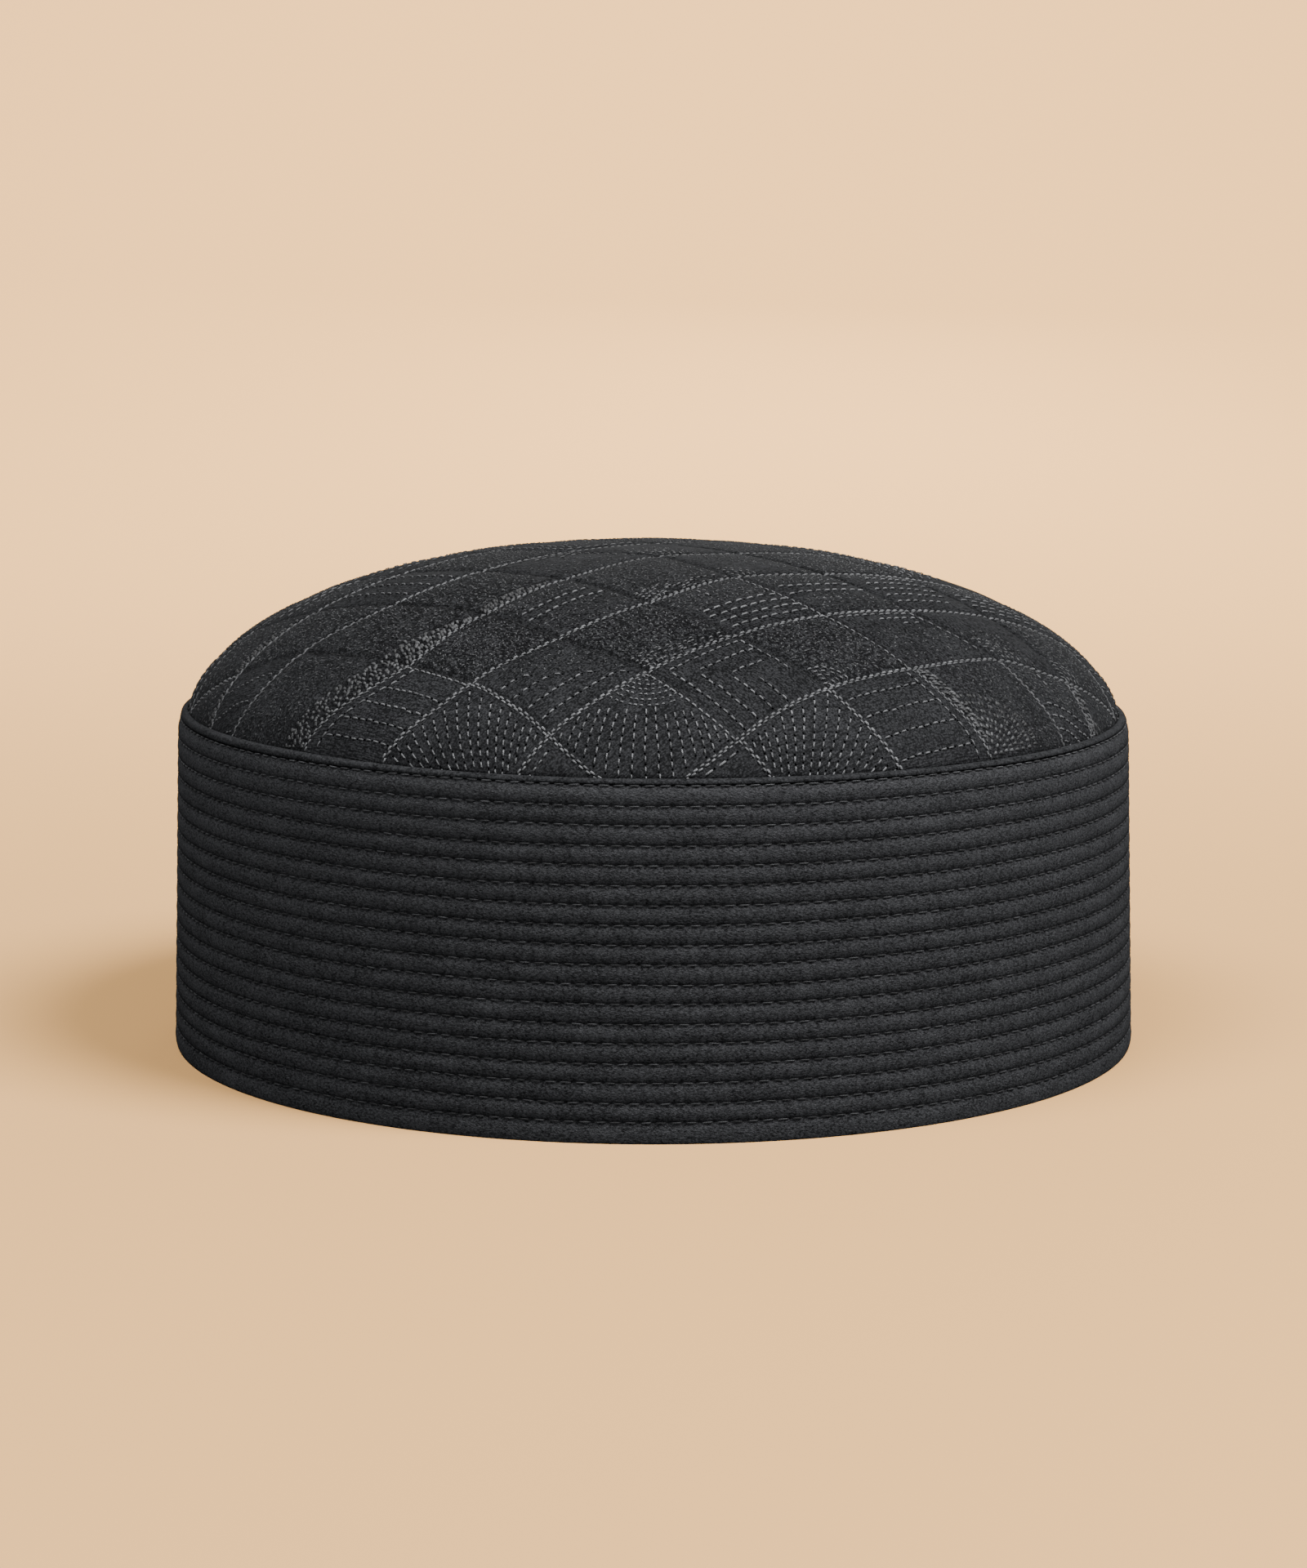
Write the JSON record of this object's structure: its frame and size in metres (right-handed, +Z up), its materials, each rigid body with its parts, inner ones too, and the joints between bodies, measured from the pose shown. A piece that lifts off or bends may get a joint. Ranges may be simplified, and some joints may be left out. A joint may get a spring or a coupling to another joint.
{
  "type": "kufi cap",
  "caption": "Brimless stiff cap: a low domed crown of embroidered quilted cloth over a tall upright band of stitched horizontal ribs, hollow and open below for a head.",
  "frame": {"origin": "centre of the rim, on the plane that the cap stands on", "axes": "+Z up through the middle of the crown, the front of the cap towards -Y, its right side seen from the front towards +X"},
  "size_m": [0.1908, 0.1908, 0.097],
  "materials": {
    "band_felt": "matt charcoal felt",
    "welt_felt": "matt charcoal felt",
    "crown_cloth": "matt charcoal cloth with grey embroidery"
  },
  "bodies": {
    "root": {"band": "band_felt", "top_welt": "welt_felt", "crown": "crown_cloth"}
  },
  "joints": []
}
